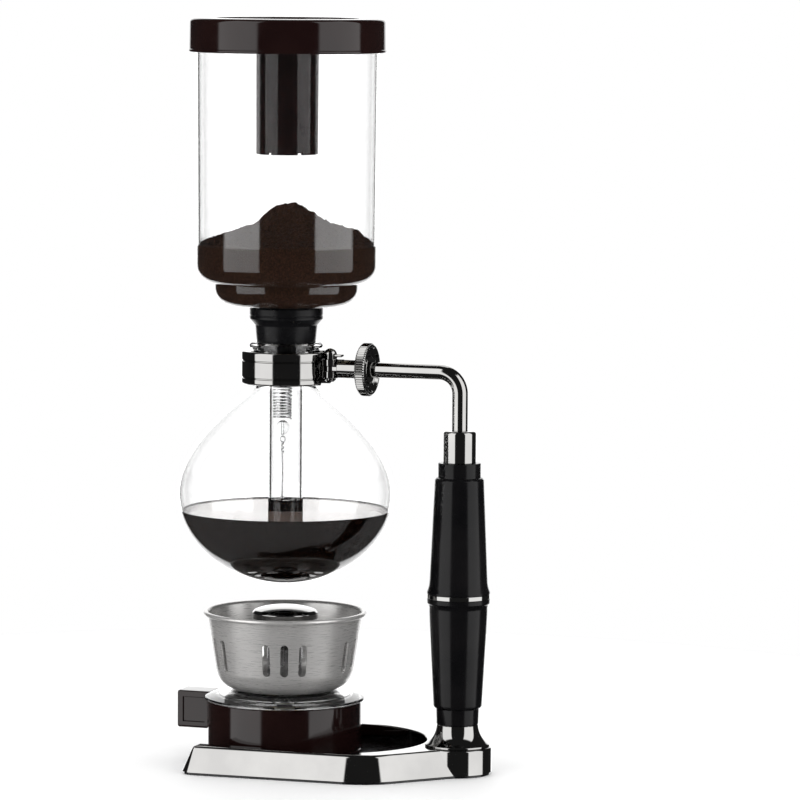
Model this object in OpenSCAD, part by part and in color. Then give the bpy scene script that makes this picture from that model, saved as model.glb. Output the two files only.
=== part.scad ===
// Siphon coffee maker, three-cup table model.
// The origin is on the flask's axis at table level, +Z is up and +X runs
// from the flask towards the handle. Heights below are counted from a datum
// that lies base_drop above the table, and raised() lifts every piece by it. The object is symmetric in Y, apart
// from the two clamp jaws and the lever on their pin.

/* [Base] */
// Depth of the base below the datum
base_drop = 3; // [2:0.1:4]
// Height of the base's top face above the datum
base_top_z = 9.7; // [9:0.1:11]
// Height of the well's floor above the datum, and thickness of the plate under the base
floor_t = 1.2; // [1:0.1:1.4]
// Radius of the round well that the lamp stands in
well_r = 43; // [41:0.5:44]
// Distance of the well's centre from the flask axis
well_x = 24; // [22:0.5:25]
// Half width of the channel that the lamp slides out through
channel_half = 37.5; // [37.4:0.1:38.5]
// Width of the rounded edge, seen from above
edge_w = 6; // [4:0.5:6]

/* [Handle] */
// Distance from the flask axis to the handle axis
handle_x = 84; // [82:0.5:86]
// Height of the lower grip's foot, where the chrome foot ends
foot_top_z = 19.8; // [18:0.1:22]
// Height of the silver band's lower face
band_z = 77.4; // [74:0.1:80]
// Thickness of the silver band
band_t = 2.1; // [1.5:0.1:3]
// Height of the upper grip's top end
grip_top_z = 139.3; // [136:0.1:142]
// Height of the collar's top
collar_top_z = 153.9; // [150:0.1:156]
// Largest radius of the grips, at the band
grip_r = 14.4; // [13.5:0.1:15]

/* [Arm] */
// Radius of the stand arm's rod
rod_r = 3.6; // [3.2:0.1:4]
// Height of the horizontal rod's axis
arm_z = 180; // [180:0.1:180.2]
// Radius of the rod's bend, on its centreline
bend_r = 9.5; // [8:0.1:12]

/* [Clamp] */
// Outer radius of the clamp's two jaws
jaw_r = 20.6; // [20.2:0.1:21]
// Height of the jaws' lower edge
jaw_z = 172.5; // [172:0.1:173]
// Height of the jaws
jaw_h = 15.1; // [14:0.1:15.2]
// Distance from the flask axis to the jaws' pin
pin_x = 21.5; // [21.5:0.1:22]
// Radius of the jaws' pin
pin_r = 1.6; // [1.4:0.1:1.8]
// Radius of the knurled knob
knob_r = 12.05; // [11:0.05:13]
// Thickness of the knurled knob
knob_t = 4.7; // [4:0.1:6]

/* [Flask] */
// Largest radius of the flask
flask_r = 49.6; // [49:0.1:50]
// Height of the flask's widest ring
flask_mid_z = 122.2; // [121:0.1:123]
// Height of the flask's lowest point
flask_bottom_z = 80.7; // [80.5:0.1:81.5]
// Outer radius of the flask's neck
neck_r = 14.2; // [14:0.1:14.2]
// Height of the lip's top
lip_top_z = 191.6; // [191.4:0.1:192]
// Thickness of the flask's blown glass
flask_t = 1.4; // [1.2:0.1:1.5]

/* [Upper bowl] */
// Outer radius of the bowl at its rim
bowl_r = 42.15; // [41.8:0.05:42.4]
// Height of the bowl's rim
bowl_rim_z = 334.9; // [330:0.1:335]
// Height of the bowl's underside
bowl_bottom_z = 208.4; // [208.3:0.1:209]
// Thickness of the bowl's glass
glass_t = 1.8; // [1.5:0.1:1.9]
// Outer radius of the dish under the shoulder
dish_r = 33; // [32:0.1:34]
// Outer radius of the stem
stem_r = 8.1; // [8:0.1:8.2]
// Height of the stem's lower end
stem_end_z = 88; // [87:0.5:92]

/* [Lid] */
// Outer radius of the lid
lid_r = 45.5; // [45:0.1:47]
// Height of the lid's top
lid_top_z = 339.2; // [339:0.1:340]
// Depth of the lid's skirt, from its top
lid_h = 15.5; // [12:0.1:18]
// Outer radius of the tube under the lid
tube_r = 14.5; // [13:0.1:16]
// Height of the tube's open end
tube_end_z = 277.3; // [276:0.1:290]

/* [Contents] */
// Height of the brewed coffee in the flask
coffee_z = 113.8; // [100:0.1:120]
// Height of the ground coffee at the bowl's wall
grounds_z = 236.6; // [228:0.1:240]
// Height of the top of the heap of ground coffee
heap_z = 255.7; // [245:0.1:260]

/* [Lamp] */
// Outer radius of the lamp's base cup
cup_r = 35.7; // [35:0.1:36]
// Height of the base cup's rim
cup_top_z = 26.4; // [26:0.1:27]
// Length of the slab grip beyond the cup
tab_l = 15; // [12:0.5:18]
// Radius of the windshield's rolled rim
shield_rim_r = 37.5; // [37:0.1:37.5]
// Height of the windshield's rim
shield_top_z = 67.6; // [67:0.1:68]
// Radius of the snuffer cap
cap_r = 15.15; // [14:0.05:16]
// Height of the snuffer cap's top
cap_top_z = 70; // [69.5:0.1:70.5]

/* [Hidden] */
$fn = 96;

// Clearances
slip = 0.05;        // running fit of a shaft, radial
gap = 0.3;          // between bodies that move past each other
seat = 0.1;         // between pieces that are pressed together
eps = 0.02;

// Heights on the clamp
jaw_top_z = jaw_z + jaw_h;
jaw_sheet = 1.2;
tongue_t = 2;
knuckle_r = 3.9;
knuckle_h = 3.3;
hub_h = 2 * knuckle_h + tongue_t + 0.2;
hub_top_z = arm_z + hub_h / 2;
sleeve_x0 = 25.8;
sleeve_x1 = 36.7;
sleeve_r = 4.4;
knob_x0 = sleeve_x1 + gap;
pad_inner_r = neck_r + gap;

// Flask and bowl
flask_lower_h = flask_mid_z - flask_bottom_z;
shoulder_z = 170.9;
shoulder_slope = 34;
lip_r = 17;
lip_z = jaw_top_z + 0.4;
bowl_shoulder_r = 8.4;
bowl_wall_r = dish_r + bowl_shoulder_r;
ledge_z = bowl_bottom_z + 10;
dish_corner_r = 8;
stem_t = 1.5;
stem_inner_r = stem_r - stem_t;
bowl_floor_z = bowl_bottom_z + glass_t;
filter_r = 22;
filter_z = bowl_floor_z + 0.9;
cloth_top_z = filter_z + 1.9;
hook_x = 4.6;
hook_wire_r = 0.6;

// Base
table_z = -base_drop;
block_z = table_z + floor_t;

// Lamp
lamp_floor_z = floor_t + gap;
glass_top_z = 31;
shield_z = glass_top_z + gap;
shield_t = 0.8;
shield_corner_r = 11;
shield_bottom_r = 20.7;
holder_r = 6;
holder_top_z = 64;

// Points on an arc of an ellipse with half axes a and b
function oval(c, a, b, from, to, n = 12) =
    [for (i = [0 : n]) let (t = from + (to - from) * i / n) [c[0] + a * cos(t), c[1] + b * sin(t)]];

// Points on an arc of a circle
function arc(c, r, from, to, n = 8) = oval(c, r, r, from, to, n);

// Points on a cubic curve with two end points and two handles
function curve(p0, p1, p2, p3, n = 12) =
    [for (i = [0 : n]) let (t = i / n, s = 1 - t)
        s * s * s * p0 + 3 * s * s * t * p1 + 3 * s * t * t * p2 + t * t * t * p3];

// The same points from the last to the first
function back(points) = [for (i = [len(points) - 1 : -1 : 0]) points[i]];

// The same points mirrored in the X axis, from the last to the first
function mirrored(points) = back([for (p = points) [p[0], -p[1]]]);

module ring(z0, z1, r_in, r_out) {
    rotate_extrude() translate([r_in, z0]) square([r_out - r_in, z1 - z0]);
}

// Stands a piece base_drop higher, so that the table is at z 0
module raised() {
    translate([0, 0, base_drop]) children();
}

module turned(points) {
    rotate_extrude() polygon(points);
}

// A cylinder along +X from x0 to x1 on the arm's axis
module along_arm(x0, x1, r) {
    translate([x0, 0, arm_z]) rotate([0, 90, 0]) cylinder(h = x1 - x0, r = r);
}

// ---------- Base ----------

// Corners of the base's plan at its foot: centre and radius, one side
corners = [[-26.5, 43.8, 6.2], [44, 17.5, 30.5], [handle_x + 1.5, 8.2, 6.2]];
boss_r = 15.7;

// Recess for the screw's head under the handle
recess_r = 7.2;
recess_top_z = 6;

// The rounded block that the well is cut from. Its side is a quarter oval.
module base_block() {
    rise = base_top_z - block_z;
    hull()
        for (a = [0 : 18 : 90], c = corners, side = [-1, 1])
            translate([c[0], side * c[1], block_z + (rise - 0.2) * sin(a)])
                cylinder(h = 0.2, r = c[2] - edge_w * (1 - cos(a)), $fn = 32);
}

// The well and the channel that leads out of it at the -X end, smaller by inset
module base_well(z0, z1, inset = 0) {
    r = well_r - inset;
    half = channel_half - inset;
    translate([well_x, 0, z0]) cylinder(h = z1 - z0, r = r);
    channel_end = well_x - sqrt(r * r - half * half);
    translate([-60, -half, z0]) cube([60 + channel_end, 2 * half, z1 - z0]);
}

module base_frame() {
    color([0.80, 0.80, 0.82])
        difference() {
            union() {
                base_block();
                translate([handle_x, 0, block_z]) cylinder(h = base_top_z - block_z, r = boss_r);
            }
            base_well(block_z - 1, base_top_z + 1);
            translate([handle_x, 0, table_z - 1]) cylinder(h = base_top_z + base_drop + 2, r = 2.7);
            translate([handle_x, 0, table_z - 1]) cylinder(h = recess_top_z - table_z + 1, r = recess_r);
        }
}

// Plate under the base, with a pad on it that fills the well up to the lamp's floor
module base_floor() {
    inset = 0.8;
    tip = corners[0];
    side = corners[1];
    half = concat(
        arc([tip[0], tip[1]], tip[2] - inset, 180, 90),
        arc([side[0], side[1]], side[2] - inset, 92, 42.5, 12),
        arc([handle_x, 0], boss_r - inset, 76, 0, 12));
    outline = concat(half, mirrored(half));
    color([0.04, 0.04, 0.045])
        difference() {
            union() {
                translate([0, 0, table_z]) linear_extrude(floor_t) polygon(outline);
                intersection() {
                    translate([0, 0, block_z - eps]) linear_extrude(base_drop + eps) polygon(outline);
                    base_well(block_z - 1, floor_t + 1, seat);
                }
            }
            translate([handle_x, 0, table_z - 1]) cylinder(h = floor_t + 2, r = recess_r);
        }
}

module base_washer() {
    color([0.6, 0.6, 0.6]) translate([handle_x, 0, 0]) ring(5.1, 6, 2.6, 6.4);
}

// Socket-head screw that holds the handle from below
module base_screw() {
    color([0.5, 0.5, 0.5])
        translate([handle_x, 0, 0])
            difference() {
                union() {
                    translate([0, 0, 1.6]) cylinder(h = 3.5, r = 4.5);
                    translate([0, 0, 5]) cylinder(h = 20, r = 2.5);
                }
                translate([0, 0, 1]) cylinder(h = 2.6, r = 2.3, $fn = 6);
            }
}

// ---------- Handle ----------

module on_handle() {
    translate([handle_x, 0, 0]) children();
}

module handle_foot() {
    rod_seat_z = 12;
    color([0.80, 0.80, 0.82])
        on_handle() turned(concat(
            [[2.7, base_top_z], [14.75, base_top_z], [14.75, base_top_z + 0.9]],
            curve([14.4, base_top_z + 1.3], [11.2, base_top_z + 3.6], [9.6, base_top_z + 6.5], [9.55, foot_top_z]),
            [[rod_r + seat, foot_top_z], [rod_r + seat, rod_seat_z], [2.7, rod_seat_z]]));
}

module lower_grip() {
    bore = rod_r + seat;
    neck_top_z = 27.5;
    color([0.05, 0.05, 0.055])
        on_handle() turned(concat(
            [[bore, foot_top_z], [9.3, foot_top_z], [9.75, foot_top_z + 0.5], [9.8, neck_top_z - 0.4]],
            [[10.6, neck_top_z], [11, neck_top_z + 0.6]],
            curve([12.7, 60], [13.1, 66], [13.3, 70], [13.35, 73.5], 4),
            arc([grip_r - 0.7, 75.4], 0.7, -70, 0, 4),
            [[grip_r, band_z], [bore, band_z]]));
}

module grip_band() {
    color([0.78, 0.78, 0.80])
        on_handle() ring(band_z, band_z + band_t, rod_r + seat, grip_r);
}

module upper_grip() {
    bore = rod_r + seat;
    z0 = band_z + band_t;
    step_z = 132.6;
    color([0.05, 0.05, 0.055])
        on_handle() turned(concat(
            [[bore, z0], [grip_r, z0], [grip_r, z0 + 0.9]],
            curve([14.1, z0 + 1.8], [13.6, z0 + 3.2], [13.35, z0 + 4], [13.25, z0 + 6], 5),
            [[11.2, step_z - 1.1], [10.5, step_z - 0.2], [9.85, step_z], [9.75, step_z + 0.4]],
            [[9.75, grip_top_z - 0.5], [9.3, grip_top_z], [bore, grip_top_z]]));
}

module handle_collar() {
    bore = rod_r + seat;
    color([0.80, 0.80, 0.82])
        on_handle() turned(concat(
            [[bore, grip_top_z], [7.5, grip_top_z]],
            arc([6, collar_top_z - 1.5], 1.5, 0, 90, 6),
            [[bore, collar_top_z]]));
}

// ---------- Arm ----------

// The rod turns down into the handle, and its other end is a flat tongue
// with an eye for the jaws' pin
module stand_arm() {
    rod_foot_z = 12.1;
    bend_x = handle_x - bend_r;
    bend_z = arm_z - bend_r;
    tongue_end_x = 27;
    color([0.80, 0.80, 0.82])
        difference() {
            union() {
                on_handle() translate([0, 0, rod_foot_z]) cylinder(h = bend_z - rod_foot_z, r = rod_r);
                translate([bend_x, 0, bend_z]) rotate([90, 0, 0])
                    rotate_extrude(angle = 90) translate([bend_r, 0]) circle(r = rod_r, $fn = 48);
                along_arm(tongue_end_x, bend_x, rod_r);
                translate([pin_x, -2.8, arm_z - tongue_t / 2]) cube([tongue_end_x - pin_x + 1, 5.6, tongue_t]);
                translate([pin_x, 0, arm_z - tongue_t / 2]) cylinder(h = tongue_t, r = 3.4);
            }
            translate([pin_x, 0, arm_z - 5]) cylinder(h = 10, r = pin_r);
            on_handle() translate([0, 0, rod_foot_z - 1]) cylinder(h = 16, r = 2.5);
        }
}

// Pin through both knuckles and the tongue, with a flat head and a riveted end
module clamp_pin() {
    head_z = hub_top_z + seat;
    nub_z = arm_z - hub_h / 2 - seat - 1.6;
    color([0.80, 0.80, 0.82])
        translate([pin_x, 0, 0])
            turned([
                [0, nub_z], [1.8, nub_z], [2.6, nub_z + 0.8], [2.6, nub_z + 1.6], [pin_r, nub_z + 1.6],
                [pin_r, head_z], [3.2, head_z], [3.2, head_z + 0.8], [0, head_z + 0.8]]);
}

// Domed lever on the pin's head
module pin_lever() {
    lever_z = hub_top_z + seat + 0.8;
    dome_h = 4;
    color([0.80, 0.80, 0.82])
        translate([pin_x, 0, 0]) {
            turned(concat([[0, lever_z], [3.1, lever_z]], oval([0, lever_z + 0.8], 3.1, dome_h - 0.8, 0, 90, 8)));
            translate([0, -1.6, lever_z]) cube([4.6, 3.2, 1.3]);
            translate([4.6, 0, lever_z]) cylinder(h = 1.3, r = 1.6);
        }
}

// ---------- Clamp ----------

// One jaw's sheet-metal channel over its half turn, on the +Y side
module jaw_channel() {
    groove = 0.35;
    low = jaw_z + 0.2 * jaw_h;
    high = jaw_z + 0.72 * jaw_h;
    lip_in = pad_inner_r + 0.6;
    inner = jaw_r - jaw_sheet;
    outline = concat(
        [[lip_in, jaw_z], [jaw_r - 0.8, jaw_z], [jaw_r, jaw_z + 0.8]],
        [[jaw_r, low - 0.5], [jaw_r - groove, low], [jaw_r, low + 0.5]],
        [[jaw_r, high - 0.5], [jaw_r - groove, high], [jaw_r, high + 0.5]],
        [[jaw_r, jaw_top_z - 0.8], [jaw_r - 0.8, jaw_top_z], [lip_in, jaw_top_z]],
        [[lip_in, jaw_top_z - jaw_sheet], [inner, jaw_top_z - jaw_sheet]],
        [[inner, jaw_z + jaw_sheet], [lip_in, jaw_z + jaw_sheet]]);
    rotate([0, 0, 1.2]) rotate_extrude(angle = 177.6) polygon(outline);
}

// A jaw on the +Y side whose knuckle lies between z0 and z1. The channel
// narrows to the hub's height near the pin.
module jaw(z0, z1) {
    clear = knuckle_r + 0.4;
    shoulder = 6.6;
    hub_low_z = hub_top_z - hub_h;
    difference() {
        union() {
            difference() {
                jaw_channel();
                translate([pin_x, 0, jaw_z - 1]) cylinder(h = z0 - jaw_z + 1, r = clear);
                translate([pin_x, 0, z1]) cylinder(h = jaw_top_z - z1 + 1, r = clear);
                translate([pin_x, 0, jaw_z - 1]) cylinder(h = hub_low_z - jaw_z + 1, r = shoulder);
                translate([pin_x, 0, hub_top_z]) cylinder(h = jaw_top_z - hub_top_z + 1, r = shoulder);
            }
            translate([pin_x, 0, z0]) cylinder(h = z1 - z0, r = knuckle_r);
            // Web between the channel and the knuckle
            intersection() {
                translate([17, 0.6, z0]) cube([4.5, 7, z1 - z0]);
                ring(z0, z1, jaw_r - 2.4, jaw_r);
            }
        }
        translate([pin_x, 0, jaw_z - 1]) cylinder(h = jaw_h + 2, r = pin_r + slip);
    }
}

module jaw_front() {
    z1 = arm_z - tongue_t / 2 - 0.1;
    color([0.80, 0.80, 0.82]) mirror([0, 1, 0]) jaw(z1 - knuckle_h, z1);
}

module jaw_rear() {
    z0 = arm_z + tongue_t / 2 + 0.1;
    color([0.80, 0.80, 0.82]) jaw(z0, z0 + knuckle_h);
}

// Liner between a jaw and the flask's neck
module pad(side) {
    pad_gap = 34;
    z0 = jaw_z + jaw_sheet + seat;
    z1 = jaw_top_z - jaw_sheet - seat;
    color([0.07, 0.06, 0.06])
        rotate([0, 0, side > 0 ? pad_gap : 184])
            rotate_extrude(angle = 176 - pad_gap)
                translate([pad_inner_r, z0]) square([jaw_r - jaw_sheet - seat - pad_inner_r, z1 - z0]);
}

module pad_front() { pad(-1); }

module pad_rear() { pad(1); }

// Plain sleeve on the rod, between the jaws' knuckles and the knob
module clamp_sleeve() {
    edge = 0.3;
    color([0.80, 0.80, 0.82])
        translate([0, 0, arm_z]) rotate([0, 90, 0])
            turned([
                [rod_r + slip, sleeve_x0], [sleeve_r - edge, sleeve_x0], [sleeve_r, sleeve_x0 + edge],
                [sleeve_r, sleeve_x1 - edge], [sleeve_r - edge, sleeve_x1], [rod_r + slip, sleeve_x1]]);
}

// Knurled knob with a dished outer face
module clamp_knob() {
    teeth = 40;
    hub_r = 6;
    rim = 1.9;
    color([0.80, 0.80, 0.82])
        difference() {
            translate([0, 0, arm_z]) rotate([0, 90, 0])
                turned([
                    [rod_r + slip, knob_x0], [knob_r - 0.7, knob_x0], [knob_r, knob_x0 + 0.7],
                    [knob_r, knob_x0 + knob_t - 0.7], [knob_r - 0.7, knob_x0 + knob_t],
                    [knob_r - rim, knob_x0 + knob_t], [knob_r - rim - 0.8, knob_x0 + knob_t - 1.6],
                    [hub_r + 0.5, knob_x0 + knob_t - 1.6], [hub_r, knob_x0 + knob_t - 0.6],
                    [rod_r + slip, knob_x0 + knob_t - 0.6]]);
            for (i = [0 : teeth - 1])
                translate([0, 0, arm_z]) rotate([i * 360 / teeth, 0, 0]) translate([knob_x0 - 1, 0, knob_r + 0.35])
                    rotate([0, 90, 0]) cylinder(h = knob_t + 2, r = 0.7, $fn = 16);
        }
}

// ---------- Flask ----------

// The flask's outline from the lowest point up to the shoulder, grown by d
function flask_wall(d) = concat(
    oval([0, flask_mid_z], flask_r + d, flask_lower_h + d, -90, 0, 16),
    curve([flask_r + d, flask_mid_z], [flask_r + d, flask_mid_z + 17],
        [neck_r + d + 22 * cos(shoulder_slope), shoulder_z + d / 2 - 22 * sin(shoulder_slope)],
        [neck_r + d, shoulder_z + d / 2], 16));

module flask() {
    bead_r = (lip_top_z - lip_z) / 2;
    color([0.85, 0.93, 0.95, 0.3])
        turned(concat(
            flask_wall(0),
            [[neck_r, lip_z - 0.2]],
            arc([lip_r - bead_r, lip_z + bead_r], bead_r, -90, 90, 8),
            curve([neck_r + 0.2, lip_top_z], [neck_r - 0.7, lip_top_z], [neck_r - flask_t, lip_z],
                [neck_r - flask_t, lip_z - 4], 6),
            back(flask_wall(-flask_t))));
}

// The coffee follows the flask's inner wall, and leaves a well for the stem and hook
module brewed_coffee() {
    well = 10.4;
    grow = -flask_t - 0.15;
    color([0.06, 0.02, 0.01])
        intersection() {
            turned(concat(flask_wall(grow), [[0, shoulder_z]]));
            ring(flask_bottom_z, coffee_z, well, flask_r);
        }
}

// ---------- Upper bowl ----------

// The bowl's outline from its floor's rim up to the shoulder's top, moved in by d
function bowl_wall(d) = concat(
    arc([dish_r - dish_corner_r, bowl_bottom_z + dish_corner_r], dish_corner_r - d, -90, 0),
    d > 0 ? arc([dish_r, ledge_z], d, 180, 90, 4) : [],
    arc([dish_r, ledge_z + bowl_shoulder_r], bowl_shoulder_r - d, d > 0 ? -88 : -90, 0));

module bowl() {
    rim = glass_t / 2;
    color([0.85, 0.93, 0.95, 0.3])
        turned(concat(
            [[stem_r, stem_end_z], [stem_r, bowl_bottom_z]],
            bowl_wall(0),
            arc([bowl_r - rim, bowl_rim_z - rim], rim, 0, 180, 8),
            back(bowl_wall(glass_t)),
            [[stem_inner_r, bowl_floor_z], [stem_inner_r, stem_end_z]]));
}

// Rubber stopper that seals the stem into the flask's neck
module gasket() {
    flange_r = 16.75;
    bore = stem_r + eps;
    color([0.05, 0.05, 0.05])
        turned([
            [bore, 178], [11.5, 178], [12, 179], [12, 185.5], [13.2, 190], [13.55, 192.5], [14.2, 199.3],
            [15.4, 200.7], [flange_r, 202.2], [flange_r, 207], [flange_r - 1, bowl_bottom_z - eps],
            [bore, bowl_bottom_z - eps]]);
}

// ---------- Filter ----------

module filter_disc() {
    hole_r = 1.1;
    color([0.7, 0.7, 0.7])
        difference() {
            translate([0, 0, filter_z]) cylinder(h = 1, r = filter_r);
            for (circle_n = [1 : 3], i = [0 : 6 * circle_n - 1])
                rotate([0, 0, i * 60 / circle_n]) translate([circle_n * 5.6, 0, filter_z - 1])
                    cylinder(h = 3, r = hole_r, $fn = 16);
        }
}

// Cloth cover over the disc, gathered under its edge
module filter_cloth() {
    color([0.85, 0.8, 0.7])
        turned([
            [0, filter_z + 1.05], [filter_r + 0.1, filter_z + 1.05], [filter_r + 0.1, filter_z - 0.1],
            [filter_r - 5, filter_z - 0.1], [filter_r - 5, bowl_floor_z + 0.1], [filter_r + 0.4, bowl_floor_z + 0.1],
            [filter_r + 1, filter_z], [filter_r + 1, cloth_top_z - 0.6], [filter_r + 0.4, cloth_top_z],
            [0, cloth_top_z]]);
}

// Points of one ring of the spring's wire, at the angle a along the coil
function coil_ring(a, r, pitch, wire, sides) =
    [for (k = [0 : sides - 1]) let (b = 360 * k / sides, d = r + wire * cos(b))
        [d * cos(a), d * sin(a), pitch * a / 360 + wire * sin(b)]];

// A closed tube through rings that all have the same number of points
module tube_through(rings) {
    n = len(rings[0]);
    count = len(rings);
    points = [for (r = rings, p = r) p];
    sides = [for (i = [0 : count - 2], k = [0 : n - 1]) let (j = (k + 1) % n)
        [i * n + k, i * n + j, (i + 1) * n + j, (i + 1) * n + k]];
    ends = [[for (k = [n - 1 : -1 : 0]) k], [for (k = [0 : n - 1]) (count - 1) * n + k]];
    polyhedron(points = points, faces = concat(sides, ends), convexity = 10);
}

// Coil spring that pulls the hook up; it hangs by the stem's -X wall
module filter_spring() {
    coil_r = 4.1;
    wire = 0.45;
    pitch = 1.7;
    turns = 29;
    color([0.7, 0.7, 0.7])
        translate([-1.6, 0, 155.8])
            tube_through([for (a = [0 : 30 : 360 * turns]) coil_ring(a, coil_r, pitch, wire, 5)]);
}

module filter_bead() {
    color([0.9, 0.95, 0.97]) translate([-1.6, 0, 151.9]) sphere(r = 3.3, $fn = 48);
}

// Thin wire down the stem, with beads on its lower end
module filter_chain() {
    foot_z = 97.05;
    bead_step = 3;
    color([0.7, 0.7, 0.7])
        translate([-1.6, 0, 0]) {
            translate([0, 0, foot_z]) cylinder(h = 51.55, r = 0.35, $fn = 24);
            translate([0, 0, 146.4]) rotate([90, 0, 0])
                rotate_extrude() translate([1.2, 0]) circle(r = 0.35, $fn = 24);
            for (i = [0 : 7]) translate([0, 0, foot_z + 1.25 + i * bead_step]) sphere(r = 1.2, $fn = 24);
        }
}

// Wire hook that holds the filter down by the stem's rim
module filter_hook() {
    under_z = stem_end_z - 0.8;
    out_x = stem_r + hook_wire_r + seat;
    mid_x = (hook_x + out_x) / 2;
    bend = (out_x - hook_x) / 2;
    color([0.7, 0.7, 0.7]) {
        translate([-hook_x, 0, under_z]) cylinder(h = 97 - under_z, r = hook_wire_r, $fn = 24);
        translate([-mid_x, 0, under_z]) rotate([90, 0, 0]) rotate([0, 0, 180])
            rotate_extrude(angle = 180) translate([bend, 0]) circle(r = hook_wire_r, $fn = 24);
        translate([-out_x, 0, under_z]) cylinder(h = 4, r = hook_wire_r, $fn = 24);
        translate([-hook_x, 0, 96.4]) rotate([0, 90, 0]) cylinder(h = hook_x - 1.6, r = hook_wire_r, $fn = 24);
    }
}

// ---------- Contents of the bowl ----------

// Ground coffee: a heap with hollow slopes, and the bowl's shape below
module coffee_grounds() {
    inset = glass_t + seat;
    floor_r = filter_r + 1 + seat;
    wall_r = bowl_wall_r - inset;
    color([0.23, 0.13, 0.08])
        turned(concat(
            [[0, cloth_top_z + eps], [floor_r, cloth_top_z + eps], [floor_r, bowl_floor_z + seat]],
            bowl_wall(inset),
            [[wall_r, grounds_z]],
            curve([wall_r, grounds_z], [24, grounds_z + 2], [15, heap_z - 5], [7, heap_z - 1]),
            [[0, heap_z]]));
}

// ---------- Lid ----------

module lid() {
    skirt_z = lid_top_z - lid_h;
    skirt_in = bowl_r + 0.85;
    plate_z = bowl_rim_z + gap;
    recess_r = dish_r;
    recess_z = plate_z + 2;
    tube_t = 2;
    corner = 2;
    color([0.10, 0.05, 0.045])
        difference() {
            turned(concat(
                [[0, plate_z], [tube_r - tube_t, plate_z], [tube_r - tube_t, tube_end_z], [tube_r, tube_end_z]],
                [[tube_r, plate_z], [skirt_in, plate_z], [skirt_in, skirt_z]],
                [[lid_r - 0.5, skirt_z], [lid_r, skirt_z + 0.5]],
                arc([lid_r - corner, lid_top_z - corner], corner, 0, 90, 6),
                [[recess_r + 0.8, lid_top_z], [recess_r, recess_z], [0, recess_z]]));
            for (i = [0 : 5])
                rotate([0, 0, i * 60 + 15]) translate([tube_r - tube_t - 1, -1.2, tube_end_z - 1])
                    cube([tube_t + 2, 2.4, 2]);
        }
}

// ---------- Lamp ----------

module lamp_base() {
    wall = 2;
    tab_w = 13;
    tab_z = 11.2;
    tab_h = 17.3;
    inner_r = cup_r - wall;
    color([0.11, 0.06, 0.05]) {
        turned([
            [0, lamp_floor_z], [cup_r - 0.6, lamp_floor_z], [cup_r, lamp_floor_z + 0.6], [cup_r, cup_top_z - 0.2],
            [cup_r - 0.2, cup_top_z], [inner_r, cup_top_z], [inner_r, lamp_floor_z + wall], [0, lamp_floor_z + wall]]);
        difference() {
            translate([-cup_r - tab_l, -tab_w / 2, tab_z]) cube([tab_l + 1.5, tab_w, tab_h]);
            for (side = [-1, 1])
                translate([-cup_r - tab_l / 2 - 0.5, side * tab_w / 2, tab_z + tab_h / 2])
                    cube([tab_l - 6, 2.4, tab_h - 6], center = true);
            translate([0, 0, cup_top_z]) cylinder(h = 10, r = cup_r + 2);
        }
    }
}

module fuel_reservoir() {
    wall = 2;
    body_r = cup_r - wall - 0.2;
    floor_z = lamp_floor_z + wall + seat;
    color([0.85, 0.93, 0.95, 0.35])
        turned([
            [0, floor_z], [body_r - 3, floor_z], [body_r, floor_z + 3], [body_r, cup_top_z + seat],
            [37.1, cup_top_z + seat], [37.25, cup_top_z + 0.6], [36.6, cup_top_z + 1.3],
            [31, glass_top_z - 1.6], [25, glass_top_z], [11, glass_top_z],
            [11, glass_top_z - wall], [24.6, glass_top_z - wall], [30, glass_top_z - wall - 1.4],
            [body_r - wall, cup_top_z - 1], [body_r - wall, floor_z + 3.6], [body_r - wall - 1.8, floor_z + wall],
            [0, floor_z + wall]]);
}

// Brass ring in the reservoir's mouth
module reservoir_collar() {
    color([0.75, 0.6, 0.3])
        turned([
            [holder_r + seat, glass_top_z - 2], [10.9, glass_top_z - 2], [10.9, glass_top_z],
            [14, glass_top_z], [14, shield_z - eps], [holder_r + seat, shield_z - eps]]);
}

// Tube that carries the wick, with a flange on the windshield's floor
module wick_holder() {
    flange_z = shield_z + shield_t;
    color([0.75, 0.75, 0.77])
        turned([
            [4.8, 24], [holder_r, 24], [holder_r, flange_z + eps], [12, flange_z + eps], [12, flange_z + 1.4],
            [holder_r + 2, flange_z + 2.4], [holder_r + 2, 50], [holder_r, 52], [holder_r, holder_top_z],
            [4.8, holder_top_z]]);
}

module wick() {
    color([0.9, 0.88, 0.82])
        translate([0, 0, 8]) cylinder(h = 57.2, r = 4.7);
}

// Steel bowl that shelters the flame, with fifteen slots in five groups
module windshield() {
    lean = 9;
    bead = 1.1;
    corner = [shield_bottom_r, shield_z + shield_corner_r];
    wall_top = [shield_rim_r - 1.9, shield_top_z - bead];
    slot_w = 3.6;
    slot_h = 15;
    slot_z = 41;
    color([0.62, 0.62, 0.63])
        difference() {
            union() {
                turned(concat(
                    [[8, shield_z]],
                    arc(corner, shield_corner_r, -90, -lean),
                    [wall_top, [wall_top[0] - shield_t, wall_top[1]]],
                    back(arc(corner, shield_corner_r - shield_t, -90, -lean)),
                    [[8, shield_z + shield_t]]));
                rotate_extrude() translate([shield_rim_r - bead, shield_top_z - bead]) circle(r = bead, $fn = 32);
            }
            for (group = [0 : 4], i = [-1 : 1])
                rotate([0, 0, -70 + group * 72 + i * 14.7]) translate([25, 0, 0]) {
                    translate([0, -slot_w / 2, slot_z + slot_w / 2]) cube([15, slot_w, slot_h - slot_w]);
                    for (z = [slot_z + slot_w / 2, slot_z + slot_h - slot_w / 2])
                        translate([0, 0, z]) rotate([0, 90, 0]) cylinder(h = 15, r = slot_w / 2, $fn = 32);
                }
        }
}

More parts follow.
